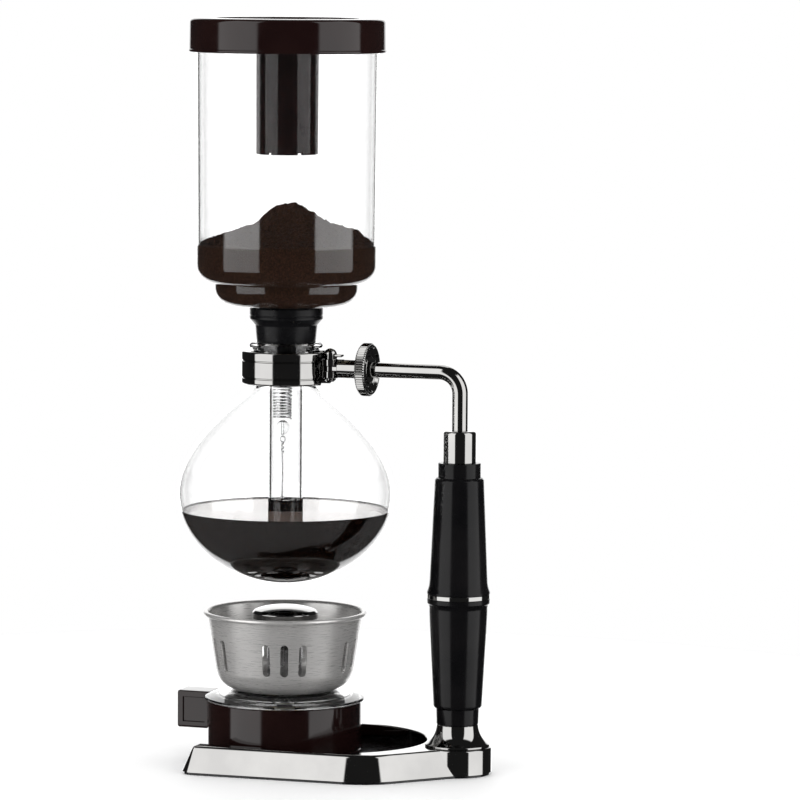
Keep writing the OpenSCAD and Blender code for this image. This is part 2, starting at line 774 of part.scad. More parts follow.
// Domed cap that puts the flame out, with a sleeve over the wick's tube
module snuffer_cap() {
    sleeve_in = holder_r + gap;
    sleeve_end_z = 56.5;
    edge_z = cap_top_z - 6.2;
    color([0.80, 0.80, 0.82])
        turned(concat(
            [[sleeve_in, sleeve_end_z], [sleeve_in + 1, sleeve_end_z], [sleeve_in + 1, edge_z + 1.2]],
            [[cap_r - 1.4, edge_z + 1.2], [cap_r - 1.2, edge_z], [cap_r, edge_z], [cap_r, edge_z + 2.4]],
            oval([0, edge_z + 2.4], cap_r - 0.2, 3.8, 4, 90, 10),
            [[0, edge_z + 2.7], [sleeve_in, edge_z + 2.7]]));
}

raised() base_frame();
raised() base_floor();
raised() base_washer();
raised() base_screw();
raised() handle_foot();
raised() lower_grip();
raised() grip_band();
raised() upper_grip();
raised() handle_collar();
raised() stand_arm();
raised() clamp_pin();
raised() pin_lever();
raised() flask();
raised() brewed_coffee();
raised() clamp_sleeve();
raised() clamp_knob();
raised() jaw_front();
raised() jaw_rear();
raised() pad_front();
raised() pad_rear();
raised() bowl();
raised() gasket();
raised() filter_disc();
raised() filter_cloth();
raised() filter_spring();
raised() filter_bead();
raised() filter_chain();
raised() filter_hook();
raised() coffee_grounds();
raised() lid();
raised() lamp_base();
raised() fuel_reservoir();
raised() reservoir_collar();
raised() wick_holder();
raised() wick();
raised() windshield();
raised() snuffer_cap();
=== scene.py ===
from math import asin, cos, degrees, exp, hypot, pi, radians, sin, tan

import bmesh
import bpy
from mathutils import Matrix, Vector, noise


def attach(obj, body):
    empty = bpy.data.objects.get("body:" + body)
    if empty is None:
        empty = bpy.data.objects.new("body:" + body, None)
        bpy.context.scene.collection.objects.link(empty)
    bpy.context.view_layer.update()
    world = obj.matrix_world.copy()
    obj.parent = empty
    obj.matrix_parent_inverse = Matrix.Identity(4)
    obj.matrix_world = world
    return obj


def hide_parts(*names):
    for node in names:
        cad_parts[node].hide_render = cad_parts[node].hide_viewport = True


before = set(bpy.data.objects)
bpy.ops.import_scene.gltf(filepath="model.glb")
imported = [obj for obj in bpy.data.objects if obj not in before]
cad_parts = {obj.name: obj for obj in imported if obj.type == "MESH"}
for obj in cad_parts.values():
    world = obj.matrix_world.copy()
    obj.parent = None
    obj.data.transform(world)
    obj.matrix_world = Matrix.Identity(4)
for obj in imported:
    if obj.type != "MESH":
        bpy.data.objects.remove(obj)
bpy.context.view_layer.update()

# Everything below is in millimetres until new_mesh() writes it in metres
MM = 0.001
STEPS = 160           # steps of a full turn
SHARP = radians(32)   # edges sharper than this stay crisp

# Heights are counted from a datum that lies this far above the table
LIFT = 3
TABLE_Z = -LIFT

# Heights and radii that several pieces share, the same as the frame's
HANDLE_X = 84
ARM_Z = 180
ROD_R = 3.6
BASE_Z = 9.7
BLOCK_Z = TABLE_Z + 1.2
FOOT_Z = 19.8
BAND_Z = 77.4
BAND_T = 2.1
GRIP_R = 14.4
GRIP_Z = 139.3
COLLAR_Z = 153.9
PIN_X = 21.5
JAW_R = 20.6
JAW_Z = 172.5
JAW_TOP = 187.6
FLASK_R = 49.6
FLASK_MID = 122.2
FLASK_LOW = 80.7
NECK_R = 14.2
LIP_R = 17
LIP_TOP = 191.6
FLASK_T = 1.4
COFFEE_Z = 113.8
STEM_COFFEE_Z = 118
BOWL_R = 42.15
RIM_Z = 334.9
BOWL_LOW = 208.4
GLASS_T = 1.8
DISH_R = 33
SHOULDER_R = 8.4
LEDGE_Z = BOWL_LOW + 10
STEM_R = 8.1
STEM_IN = 6.6
STEM_END = 88
GROUNDS_Z = 236.6
LID_R = 45.5
LID_TOP = 339.2
LID_LOW = 323.7
TUBE_R = 14.5
TUBE_END = 277.3
CUP_R = 35.7
CUP_TOP = 26.4
GLASS_TOP = 31
SHIELD_R = 37.5
SHIELD_TOP = 67.6
CAP_R = 15.15
CAP_TOP = 70
HOLDER_TOP = 64
CHAIN_X = -1.6


# ---------- Outlines ----------

def oval(cx, cz, a, b, start, end, n=12):
    """Points on an arc of an ellipse."""
    turns = [radians(start + (end - start) * i / n) for i in range(n + 1)]
    return [(cx + a * cos(t), cz + b * sin(t)) for t in turns]


def arc(cx, cz, r, start, end, n=8):
    return oval(cx, cz, r, r, start, end, n)


def curve(p0, p1, p2, p3, n=14):
    """Points on a cubic curve with two end points and two handles."""
    points = []
    for i in range(n + 1):
        t = i / n
        s = 1 - t
        w = (s ** 3, 3 * s * s * t, 3 * s * t * t, t ** 3)
        points.append(tuple(sum(k * p[axis] for k, p in zip(w, (p0, p1, p2, p3))) for axis in (0, 1)))
    return points


def fillet(points, closed=True, steps=5):
    """Rounds an outline's corners. A point is (r, z), or (r, z, radius) where the corner is round."""
    rounded = []
    count = len(points)
    for i, point in enumerate(points):
        here = Vector(point[:2])
        open_end = not closed and i in (0, count - 1)
        if len(point) < 3 or open_end:
            rounded.append(tuple(here))
            continue
        back = Vector(points[i - 1][:2]) - here
        on = Vector(points[(i + 1) % count][:2]) - here
        half = back.angle(on) / 2
        reach = min(point[2] / tan(half), 0.49 * back.length, 0.49 * on.length)
        radius = reach * tan(half)
        start = here + back.normalized() * reach
        end = here + on.normalized() * reach
        centre = here + (back.normalized() + on.normalized()).normalized() * radius / sin(half)
        for k in range(steps + 1):
            spoke = (start - centre).slerp(end - centre, k / steps)
            rounded.append(tuple(centre + spoke.normalized() * radius))
    return rounded


# ---------- Meshes: each function returns (points, faces) ----------

def lathe(outline, steps=STEPS, centre=(0, 0), span=None, ripple=None):
    """An outline of (r, z) points turned about a vertical axis, all the way or over span degrees."""
    first, extent = span if span else (0, 360)
    columns = steps if span is None else steps + 1
    points = []
    rows = []
    for r, z in outline:
        if r < 1e-4:
            rows.append([len(points)] * (columns + 1))
            points.append((centre[0], centre[1], z))
            continue
        row = []
        for k in range(columns):
            t = radians(first + extent * k / steps)
            rr = r + (ripple(t, r, z) if ripple else 0)
            row.append(len(points))
            points.append((centre[0] + rr * cos(t), centre[1] + rr * sin(t), z))
        rows.append(row + row[:1])
    open_line = outline[0][0] < 1e-4 and outline[-1][0] < 1e-4
    last = len(rows) - 1 if open_line else len(rows)
    faces = []
    for i in range(last):
        low, high = rows[i], rows[(i + 1) % len(rows)]
        for k in range(steps):
            corners = [low[k], low[k + 1], high[k + 1], high[k]]
            face = [c for j, c in enumerate(corners) if c != corners[j - 1]]
            if len(face) > 2:
                faces.append(face)
    if span:
        faces.append([row[0] for row in rows])
        faces.append([row[steps] for row in reversed(rows)])
    return points, faces


def along_arm(shape):
    """Lays a turned shape's axis along the arm, with its z as the place along +X."""
    return [(z, x, ARM_Z + y) for x, y, z in shape[0]], shape[1]


def tube(path, radius, sides=14):
    """A round rod along a path."""
    path = [Vector(p) for p in path]
    points, faces = [], []
    last = len(path) - 1
    normal = None
    for i, here in enumerate(path):
        along = (path[min(i + 1, last)] - path[max(i - 1, 0)]).normalized()
        if normal is None:
            normal = along.orthogonal().normalized()
        normal = (normal - along * normal.dot(along)).normalized()
        side = along.cross(normal)
        for k in range(sides):
            t = 2 * pi * k / sides
            points.append(tuple(here + (normal * cos(t) + side * sin(t)) * radius))
        if i:
            base = (i - 1) * sides
            for k in range(sides):
                j = (k + 1) % sides
                faces.append([base + k, base + j, base + sides + j, base + sides + k])
    faces.append(list(range(sides)))
    faces.append([last * sides + k for k in range(sides)])
    return points, faces


def stacked(contours):
    """A solid through closed contours of equal length, given from the bottom up."""
    n = len(contours[0])
    points = [p for contour in contours for p in contour]
    faces = [list(range(n)), [(len(contours) - 1) * n + k for k in range(n)]]
    for i in range(len(contours) - 1):
        for k in range(n):
            j = (k + 1) % n
            faces.append([i * n + k, i * n + j, (i + 1) * n + j, (i + 1) * n + k])
    return points, faces


def block(low, high, edge, panel=0):
    """A block with round edges. With a panel, its two Y sides have a sunk field that far in."""
    bm = bmesh.new()
    bmesh.ops.create_cube(bm, size=1)
    size = Vector(high) - Vector(low)
    centre = (Vector(high) + Vector(low)) / 2
    for v in bm.verts:
        v.co = Vector(c * s for c, s in zip(v.co, size)) + centre
    bmesh.ops.bevel(bm, geom=bm.edges[:], offset=edge, segments=4, affect="EDGES", profile=0.5)
    if panel:
        bm.normal_update()
        sides = sorted(bm.faces, key=lambda f: -f.calc_area() if abs(f.normal.y) > 0.99 else 0)[:2]
        bmesh.ops.inset_individual(bm, faces=sides, thickness=panel, depth=0)
        bmesh.ops.inset_individual(bm, faces=sides, thickness=0.5, depth=-0.9)
    bm.verts.ensure_lookup_table()
    points = [tuple(v.co) for v in bm.verts]
    faces = [[v.index for v in f.verts] for f in bm.faces]
    bm.free()
    return points, faces


def joined(*shapes):
    points, faces = [], []
    for shape_points, shape_faces in shapes:
        start = len(points)
        points += shape_points
        faces += [[start + i for i in face] for face in shape_faces]
    return points, faces


def moved(shape, matrix):
    return [tuple(matrix @ Vector(p)) for p in shape[0]], shape[1]


def new_mesh(name, shape):
    """An object with outward normals, in metres and above the table."""
    points, faces = shape
    mesh = bpy.data.meshes.new(name)
    mesh.from_pydata([(x * MM, y * MM, (z + LIFT) * MM) for x, y, z in points], [], faces)
    bm = bmesh.new()
    bm.from_mesh(mesh)
    bmesh.ops.recalc_face_normals(bm, faces=bm.faces[:])
    bm.to_mesh(mesh)
    bm.free()
    obj = bpy.data.objects.new(name, mesh)
    bpy.context.scene.collection.objects.link(obj)
    return obj


def carve(obj, shape, operation="DIFFERENCE"):
    """Cuts a shape out of obj, or adds it."""
    tool = new_mesh("tool", shape)
    modifier = obj.modifiers.new("carve", "BOOLEAN")
    modifier.operation = operation
    modifier.solver = "EXACT"
    modifier.object = tool
    graph = bpy.context.evaluated_depsgraph_get()
    mesh = bpy.data.meshes.new_from_object(obj.evaluated_get(graph))
    obj.modifiers.remove(modifier)
    obj.data = mesh
    bpy.data.objects.remove(tool)


def finish_piece(obj, body, material, nodes):
    """Shades a piece so that flat faces look flat, and ties it to its body and CAD nodes."""
    obj.data.shade_smooth()
    obj.data.set_sharp_from_angle(angle=SHARP)
    modifier = obj.modifiers.new("normals", "WEIGHTED_NORMAL")
    modifier.keep_sharp = True
    obj.data.materials.clear()
    obj.data.materials.append(material)
    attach(obj, body)
    if nodes:
        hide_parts(*nodes)
    return obj


def piece(name, shape, body, material, slot, *nodes):
    return finish_piece(new_mesh(name, shape), body, material, nodes)


# ---------- Materials ----------

class Finish:
    """A Principled material, with helpers for its procedural detail."""

    def __init__(self, name, color, roughness, **sockets):
        self.material = bpy.data.materials.new(name)
        self.material.use_nodes = True
        self.nodes = self.material.node_tree.nodes
        self.links = self.material.node_tree.links
        self.shader = self.nodes["Principled BSDF"]
        self.shader.inputs["Base Color"].default_value = (*color, 1)
        self.shader.inputs["Roughness"].default_value = roughness
        for socket, value in sockets.items():
            self.shader.inputs[socket.replace("_", " ")].default_value = value

    def place(self, stretch=(1, 1, 1)):
        """Object coordinates, stretched."""
        coords = self.nodes.new("ShaderNodeTexCoord")
        mapping = self.nodes.new("ShaderNodeMapping")
        mapping.inputs["Scale"].default_value = stretch
        self.links.new(coords.outputs["Object"], mapping.inputs["Vector"])
        return mapping.outputs["Vector"]

    def noise(self, size, detail=3, stretch=(1, 1, 1)):
        """Noise whose features are about size millimetres."""
        node = self.nodes.new("ShaderNodeTexNoise")
        node.inputs["Scale"].default_value = 1000 / size
        node.inputs["Detail"].default_value = detail
        self.links.new(self.place(stretch), node.inputs["Vector"])
        return node.outputs["Fac"]

    def cells(self, size, stretch=(1, 1, 1)):
        node = self.nodes.new("ShaderNodeTexVoronoi")
        node.inputs["Scale"].default_value = 1000 / size
        self.links.new(self.place(stretch), node.inputs["Vector"])
        return node.outputs["Distance"]

    def facing(self, blend=0.5):
        node = self.nodes.new("ShaderNodeLayerWeight")
        node.inputs["Blend"].default_value = blend
        return node.outputs["Facing"]

    def color(self, factor, *stops):
        """Colours the surface by a factor, through (place, colour) stops."""
        ramp = self.nodes.new("ShaderNodeValToRGB")
        elements = ramp.color_ramp.elements
        while len(elements) < len(stops):
            elements.new(0.5)
        for element, (place, color) in zip(elements, stops):
            element.position = place
            element.color = (*color, 1)
        self.links.new(factor, ramp.inputs["Fac"])
        self.links.new(ramp.outputs["Color"], self.shader.inputs["Base Color"])
        return self

    def rough(self, factor, low, high):
        span = self.nodes.new("ShaderNodeMapRange")
        span.inputs["From Min"].default_value = 0.3
        span.inputs["From Max"].default_value = 0.7
        span.inputs["To Min"].default_value = low
        span.inputs["To Max"].default_value = high
        self.links.new(factor, span.inputs["Value"])
        self.links.new(span.outputs["Result"], self.shader.inputs["Roughness"])
        return self

    def bump(self, *heights):
        """Bumps of (factor, strength, depth in millimetres), one on another."""
        normal = None
        for factor, strength, depth in heights:
            node = self.nodes.new("ShaderNodeBump")
            node.inputs["Strength"].default_value = strength
            node.inputs["Distance"].default_value = depth * MM
            self.links.new(factor, node.inputs["Height"])
            if normal:
                self.links.new(normal, node.inputs["Normal"])
            normal = node.outputs["Normal"]
        self.links.new(normal, self.shader.inputs["Normal"])
        return self


def chrome():
    """Bright plating with the faintest waviness and wipe marks."""
    f = Finish("chrome", (0.28, 0.277, 0.272), 0.05, Metallic=1)
    f.rough(f.noise(9, 4), 0.03, 0.08)
    f.color(f.noise(22), (0.35, (0.265, 0.262, 0.257)), (0.65, (0.3, 0.297, 0.29)))
    return f.bump((f.noise(14, 2), 0.05, 0.15)).material


def satin_steel():
    """Spun stainless steel: fine lines run round it."""
    f = Finish("satin_steel", (0.52, 0.51, 0.5), 0.3, Metallic=0.55)
    lines = f.noise(6, 4, (1, 1, 30))
    f.rough(lines, 0.24, 0.38)
    f.color(f.noise(16), (0.3, (0.49, 0.483, 0.475)), (0.7, (0.56, 0.55, 0.54)))
    return f.bump((lines, 0.12, 0.05)).material


def steel():
    f = Finish("steel", (0.66, 0.66, 0.67), 0.2, Metallic=1)
    grain = f.noise(1.5, 4)
    f.rough(grain, 0.14, 0.3)
    f.color(grain, (0.3, (0.6, 0.6, 0.61)), (0.7, (0.72, 0.72, 0.73)))
    return f.bump((grain, 0.1, 0.03)).material


def brass():
    f = Finish("brass", (0.72, 0.52, 0.22), 0.24, Metallic=1)
    f.color(f.noise(5, 4), (0.3, (0.62, 0.43, 0.17)), (0.7, (0.78, 0.58, 0.26)))
    f.rough(f.noise(3), 0.18, 0.34)
    return f.bump((f.noise(1.2), 0.1, 0.03)).material


def moulded(name, dark, light, low, high, grain=0.5, gloss=0.3):
    """Moulded plastic with a fine orange-peel grain."""
    f = Finish(name, dark, low, Specular_IOR_Level=gloss)
    f.color(f.noise(18, 4), (0.3, dark), (0.7, light))
    f.rough(f.noise(11, 4), low, high)
    return f.bump((f.noise(grain, 2), 0.08, 0.03), (f.noise(16, 2), 0.06, 0.2)).material


def rubber():
    f = Finish("black_rubber", (0.005, 0.005, 0.006), 0.3, Specular_IOR_Level=0.14)
    f.color(f.noise(7, 5), (0.3, (0.003, 0.003, 0.0035)), (0.7, (0.008, 0.008, 0.009)))
    f.rough(f.noise(5, 4), 0.24, 0.36)
    return f.bump((f.noise(0.35, 3), 0.15, 0.04)).material


def glass(name, tint, edge):
    """Clear glass. Its colour deepens only where it is seen edge on: painted shade standing in for the dark lines
    along its edges.
    """
    f = Finish(name, tint, 0.0, Transmission_Weight=1, IOR=1.47)
    f.color(f.facing(0.5), (0.0, tint), (0.93, tint), (0.985, edge), (1.0, tuple(c * 0.5 for c in edge)))
    return f.bump((f.noise(30, 1), 0.03, 0.2)).material


def coffee():
    """Near-black liquid, browner where its surface is seen edge on: painted light standing in for light passing
    through its edge.
    """
    f = Finish("coffee", (0.008, 0.003, 0.0015), 0.03, IOR=1.34)
    f.color(f.facing(0.5), (0.0, (0.006, 0.0025, 0.0015)), (0.75, (0.012, 0.004, 0.002)), (1.0, (0.16, 0.06, 0.02)))
    return f.bump((f.noise(12, 2), 0.03, 0.2)).material


def grounds():
    f = Finish("grounds", (0.045, 0.017, 0.007), 0.9, Specular_IOR_Level=0.2)
    f.color(f.noise(0.7, 8), (0.3, (0.016, 0.006, 0.0025)), (0.5, (0.03, 0.0115, 0.005)), (0.72, (0.05, 0.02, 0.009)))
    return f.bump((f.cells(0.55), 0.8, 0.35), (f.noise(1.6, 5), 0.6, 0.5)).material


def cotton(name, dark, light, size):
    """Woven cotton: threads cross at the given spacing."""
    f = Finish(name, light, 0.9, Sheen_Weight=0.3, Sheen_Roughness=0.5)
    warp = f.cells(size, (1, 1, 0.4))
    f.color(warp, (0.1, light), (0.8, dark))
    return f.bump((warp, 0.7, 0.3), (f.noise(0.3), 0.3, 0.1)).material


def floor_finish():
    """Pale paper with a faint mottle."""
    f = Finish("studio_floor", (0.96, 0.96, 0.96), 0.6, Specular_IOR_Level=0.1)
    f.color(f.noise(40), (0.35, (0.955, 0.955, 0.955)), (0.65, (0.965, 0.965, 0.965)))
    return f.bump((f.noise(2, 3), 0.03, 0.05)).material


CHROME = chrome()
SATIN = satin_steel()
STEEL = steel()
BRASS = brass()
GRIP = moulded("grip_plastic", (0.003, 0.003, 0.0035), (0.006, 0.0055, 0.006), 0.14, 0.22, gloss=0.14)
BROWN = moulded("brown_plastic", (0.008, 0.003, 0.003), (0.012, 0.005, 0.0045), 0.06, 0.12, gloss=0.3)
MAT = moulded("base_mat", (0.006, 0.006, 0.0065), (0.011, 0.011, 0.0115), 0.12, 0.25, 0.8)
RUBBER = rubber()
GLASS = glass("clear_glass", (1.0, 1.0, 1.0), (0.62, 0.65, 0.66))
BEAD = glass("bead_glass", (0.97, 0.98, 0.98), (0.55, 0.58, 0.6))
COFFEE = coffee()
GROUNDS = grounds()
FILTER = cotton("filter_cotton", (0.5, 0.42, 0.3), (0.78, 0.7, 0.56), 0.6)
WICK = cotton("wick_cotton", (0.55, 0.52, 0.46), (0.86, 0.84, 0.78), 0.8)


# ---------- Base and handle ----------

CORNERS = [(-26.5, 43.8, 6.2), (44, 17.5, 30.5), (85.5, 8.2, 6.2)]
EDGE_W = 6
WELL_R = 43
WELL_X = 24
WELL_END = -60        # past the base's open side
CHANNEL_W = 75
SCREW_R = 2.7


def plan(inset, z, n=288):
    """The base's plan, a loop round its corner circles, moved in by inset."""
    circles = [(x, side * y, r - inset) for x, y, r in CORNERS for side in (-1, 1)]
    loop = []
    for k in range(n):
        t = 2 * pi * (k + 0.5) / n
        x, y, r = max(circles, key=lambda c: c[0] * cos(t) + c[1] * sin(t) + c[2])
        loop.append((x + r * cos(t), y + r * sin(t), z))
    return loop


def well(spread, z, n=96):
    """The well's outline with the channel that leads out at -X, moved out by spread."""
    r, half = WELL_R + spread, CHANNEL_W / 2 + spread
    stop = 180 - degrees(asin(half / r))
    loop = [(WELL_X + x, y, z) for x, y in arc(0, 0, r, -stop, stop, n)]
    return loop + [(WELL_END, half, z), (WELL_END, -half, z)]


def base_frame():
    """A slanted wall with a tight round at its top, a boss under the handle, and the well."""
    round_top = curve((EDGE_W - 1.6, BASE_Z - 1.4), (EDGE_W - 1.1, BASE_Z - 0.5), (EDGE_W - 0.7, BASE_Z),
                      (EDGE_W, BASE_Z), 8)
    wall = [(0, BLOCK_Z)] + round_top
    obj = new_mesh("base_casting", stacked([plan(inset, z) for inset, z in wall]))
    boss_r = 15.7
    boss = fillet([(0, BLOCK_Z), (boss_r, BLOCK_Z), (boss_r, BASE_Z, 1.2), (0, BASE_Z)], closed=False)
    carve(obj, lathe(boss, 128, (HANDLE_X, 0)), "UNION")
    lip = 0.9
    flare = [(0, BLOCK_Z - 1), (0, BASE_Z - lip)]
    flare += [(lip * (1 - cos(radians(a))), BASE_Z - lip + lip * sin(radians(a))) for a in (20, 40, 60, 80)]
    flare.append((lip, BASE_Z + 0.3))
    carve(obj, stacked([well(spread, z) for spread, z in flare]))
    recess_r, recess_top = 7.2, 6
    bore = [(0, TABLE_Z - 1), (recess_r, TABLE_Z - 1), (recess_r, recess_top), (SCREW_R, recess_top)]
    bore += [(SCREW_R, BASE_Z + 1), (0, BASE_Z + 1)]
    carve(obj, lathe(bore, 64, (HANDLE_X, 0)))
    finish_piece(obj, "stand", CHROME, ["base_frame"])


def on_handle(name, outline, material, slot, node):
    piece(name, lathe(outline, STEPS, (HANDLE_X, 0)), "stand", material, slot, node)


def handle():
    bore = ROD_R + 0.1
    foot = [(SCREW_R, BASE_Z), (14.9, BASE_Z, 0.3), (14.9, BASE_Z + 0.9, 0.4)]
    foot += curve((14.3, 11.1), (11.2, 13.3), (9.65, 16.2), (9.55, FOOT_Z - 0.3))
    foot += [(9.3, FOOT_Z), (bore, FOOT_Z)]
    on_handle("handle_foot_skin", fillet(foot), CHROME, "chrome", "handle_foot")

    low = [(bore, FOOT_Z), (9.55, FOOT_Z, 0.4), (9.8, 27.1, 0.3), (10.6, 27.5, 0.4), (11, 28.1, 0.5)]
    low += curve((11.1, 29), (12.7, 58), (13.25, 68), (13.35, 73.5), 20)
    low += [(13.75, 74.7, 0.5), (GRIP_R - 0.1, 75.3, 0.6), (GRIP_R, BAND_Z, 0.15), (bore, BAND_Z)]
    on_handle("lower_grip_skin", fillet(low), GRIP, "grip_plastic", "lower_grip")

    top = BAND_Z + BAND_T
    band = [(bore, BAND_Z), (GRIP_R, BAND_Z, 0.25), (GRIP_R, top, 0.25), (bore, top)]
    on_handle("grip_band_skin", fillet(band), CHROME, "chrome", "grip_band")

    high = [(bore, top), (GRIP_R, top, 0.15), (GRIP_R, top + 0.9, 0.6)]
    high += curve((14.0, top + 1.9), (13.6, top + 3.1), (13.35, top + 4), (13.25, top + 6), 6)
    high += [(11.2, 131.5, 0.8), (10.5, 132.4, 0.5), (9.85, 132.6, 0.3)]
    high += [(9.75, 133, 0.2), (9.75, GRIP_Z, 0.5), (bore, GRIP_Z)]
    on_handle("upper_grip_skin", fillet(high), GRIP, "grip_plastic", "upper_grip")

    collar = [(bore, GRIP_Z), (7.5, GRIP_Z, 0.25), (7.5, COLLAR_Z, 1.5), (bore, COLLAR_Z)]
    on_handle("handle_collar_skin", fillet(collar), CHROME, "chrome", "handle_collar")


def arm():
    """The bent rod, with its flat tongue and eye at the jaws' pin."""
    bend = 9.5
    path = [(HANDLE_X, 0, 12.1 + 3 * i) for i in range(53)]
    path += [(HANDLE_X - bend + x, 0, ARM_Z - bend + z) for x, z in arc(0, 0, bend, 0, 90, 24)]
    path += [(27, 0, ARM_Z)]
    tongue = block((PIN_X, -2.8, ARM_Z - 1), (28, 2.8, ARM_Z + 1), 0.25)
    eye = lathe([(1.62, ARM_Z - 1), (3.4, ARM_Z - 1), (3.4, ARM_Z + 1), (1.62, ARM_Z + 1)], 64, (PIN_X, 0))
    piece("arm_rod", joined(tube(path, ROD_R, 48), tongue, eye), "stand", CHROME, "chrome", "stand_arm")


# ---------- Clamp ----------

def jaw_outline():
    """The channel's section: a sheet band with two fine grooves, turned in at top and bottom."""
    sheet, lip = 1.2, NECK_R + 0.9
    height = JAW_TOP - JAW_Z
    wall = [(lip, JAW_Z), (JAW_R, JAW_Z, 0.9)]
    for share in (0.2, 0.72):
        z = JAW_Z + share * height
        wall += [(JAW_R, z - 0.45), (JAW_R - 0.35, z - 0.15), (JAW_R - 0.35, z + 0.15), (JAW_R, z + 0.45)]
    wall += [(JAW_R, JAW_TOP, 0.9), (lip, JAW_TOP), (lip, JAW_TOP - sheet), (JAW_R - sheet, JAW_TOP - sheet)]
    wall += [(JAW_R - sheet, JAW_Z + sheet), (lip, JAW_Z + sheet)]
    return fillet(wall)


def neck(side):
    """The strap that narrows from the band's height to the hub's, towards the pin."""
    steps, r_in = 10, JAW_R - 1.8
    contours = []
    for i in range(steps + 1):
        share = i / steps
        half = 4.4 + 3.15 * share ** 1.8
        t = radians(side * (10.4 + 9 * share))
        section = fillet([(r_in, -half), (JAW_R, -half, 0.7), (JAW_R, half, 0.7), (r_in, half)])
        contours.append([(r * cos(t), r * sin(t), ARM_Z + z) for r, z in section])
    return stacked(contours)


def jaw(side, low, high):
    """Half of the band, with its neck, and its knuckle between the two heights."""
    strap_r = JAW_R - 2.3
    band = lathe(jaw_outline(), 96, span=(side * 18.9, side * 159.9))
    web = lathe(fillet([(strap_r, low), (JAW_R, low, 0.3), (JAW_R, high, 0.3), (strap_r, high)]),
                12, span=(side * 3, side * 9.6))
    ring = [(1.68, low), (3.9, low, 0.35), (3.9, high, 0.35), (1.68, high)]
    return joined(band, neck(side), web, lathe(fillet(ring), 72, (PIN_X, 0)))


def clamp():
    hub_low, hub_top, knuckle_h = ARM_Z - 4.4, ARM_Z + 4.4, 3.3
    front = jaw(-1, hub_low, hub_low + knuckle_h)
    rear = jaw(1, hub_top - knuckle_h, hub_top)
    piece("front_jaw_band", front, "front_jaw", CHROME, "chrome", "jaw_front")
    piece("rear_jaw_band", rear, "rear_jaw", CHROME, "chrome", "jaw_rear")

    head_z = 185.3
    dome = [(0, head_z), (3.1, head_z)] + oval(0, head_z + 0.8, 3.1, 3.2, 0, 90, 12)
    bar = block((PIN_X, -1.6, head_z), (PIN_X + 6.1, 1.6, head_z + 1.3), 0.5)
    piece("pin_lever_skin", joined(lathe(dome, 72, (PIN_X, 0)), bar), "stand", CHROME, "chrome", "pin_lever")

    bore, sleeve_r, near, far = ROD_R + 0.05, 4.4, 25.8, 36.7
    sleeve = [(bore, near), (sleeve_r, near, 0.35), (sleeve_r, far, 0.35), (bore, far)]
    piece("clamp_sleeve_skin", along_arm(lathe(fillet(sleeve), 96)), "stand", CHROME, "chrome", "clamp_sleeve")

    knob_r, x0, x1 = 12.05, 37, 41.7
    teeth = 64

    def knurl(t, r, x):
        return -0.22 * (1 - cos(teeth * t)) if r > knob_r - 0.6 else 0

    face = [(bore, x0), (knob_r - 0.7, x0, 0.3), (knob_r, x0 + 0.7, 0.2), (knob_r, x1 - 0.7, 0.2)]
    face += [(knob_r - 0.7, x1, 0.3), (knob_r - 1.7, x1, 0.2), (knob_r - 2.6, x1 - 1.6, 0.4)]
    for r in (8.6, 7.6):
        face += [(r + 0.35, x1 - 1.6), (r, x1 - 1.9), (r - 0.35, x1 - 1.6)]
    face += [(6.5, x1 - 1.6, 0.3), (6, x1 - 0.6, 0.3), (bore, x1 - 0.6)]
    piece("knurled_knob", along_arm(lathe(fillet(face), teeth * 6, ripple=knurl)),
          "knob", CHROME, "chrome", "clamp_knob")


# ---------- Flask ----------

def flask_wall(grow):
    """The flask's outline from its lowest point to the shoulder, grown by a few millimetres."""
    end = (NECK_R + grow, 170.9 + grow / 2)
    slope = radians(34)
    handle_back = (end[0] + 22 * cos(slope), end[1] - 22 * sin(slope))
    low = oval(0, FLASK_MID, FLASK_R + grow, FLASK_MID - FLASK_LOW + grow, -90, 0, 40)
    return low + curve(low[-1], (FLASK_R + grow, FLASK_MID + 17), handle_back, end, 40)[1:]


def flask():
    lip_z = JAW_TOP + 0.4
    bead = (LIP_TOP - lip_z) / 2
    outline = flask_wall(0) + [(NECK_R, lip_z - 0.2)]
    outline += arc(LIP_R - bead, lip_z + bead, bead, -90, 90, 12)
    outline += curve((NECK_R + 0.2, LIP_TOP), (13.5, LIP_TOP), (12.8, lip_z), (12.8, lip_z - 4), 8)
    outline += flask_wall(-FLASK_T)[::-1]
    outline[0] = (0, outline[0][1])
    outline[-1] = (0, outline[-1][1])
    piece("flask_glass", lathe(outline, 192), "stand", GLASS, "clear_glass", "flask")


def flask_coffee():
    """The coffee meets the glass, with a rim that creeps up the wall."""
    wall = [p for p in flask_wall(-FLASK_T + 0.1) if p[1] < COFFEE_Z + 1]
    wall[0] = (0, wall[0][1])
    edge = wall[-1][0]
    surface = [(edge - 0.35, COFFEE_Z + 0.55), (edge - 0.8, COFFEE_Z + 0.2), (edge - 1.7, COFFEE_Z + 0.03)]
    surface += [(r, COFFEE_Z) for r in (40, 30, 20, 12)] + [(0, COFFEE_Z)]
    piece("flask_coffee", lathe(wall + surface, 192), "stand", COFFEE, "coffee", "brewed_coffee")


# ---------- Bowl and what it holds ----------

def bowl_wall(inset):
    """The bowl's outline from its floor's rim to the top of the shoulder, moved in."""
    foot = arc(DISH_R - 8, BOWL_LOW + 8, 8 - inset, -90, 0, 12)
    ledge = arc(DISH_R, LEDGE_Z, inset, 180, 90, 6) if inset else []
    return foot + ledge + arc(DISH_R, LEDGE_Z + SHOULDER_R, SHOULDER_R - inset, -88 if inset else -90, 0, 14)


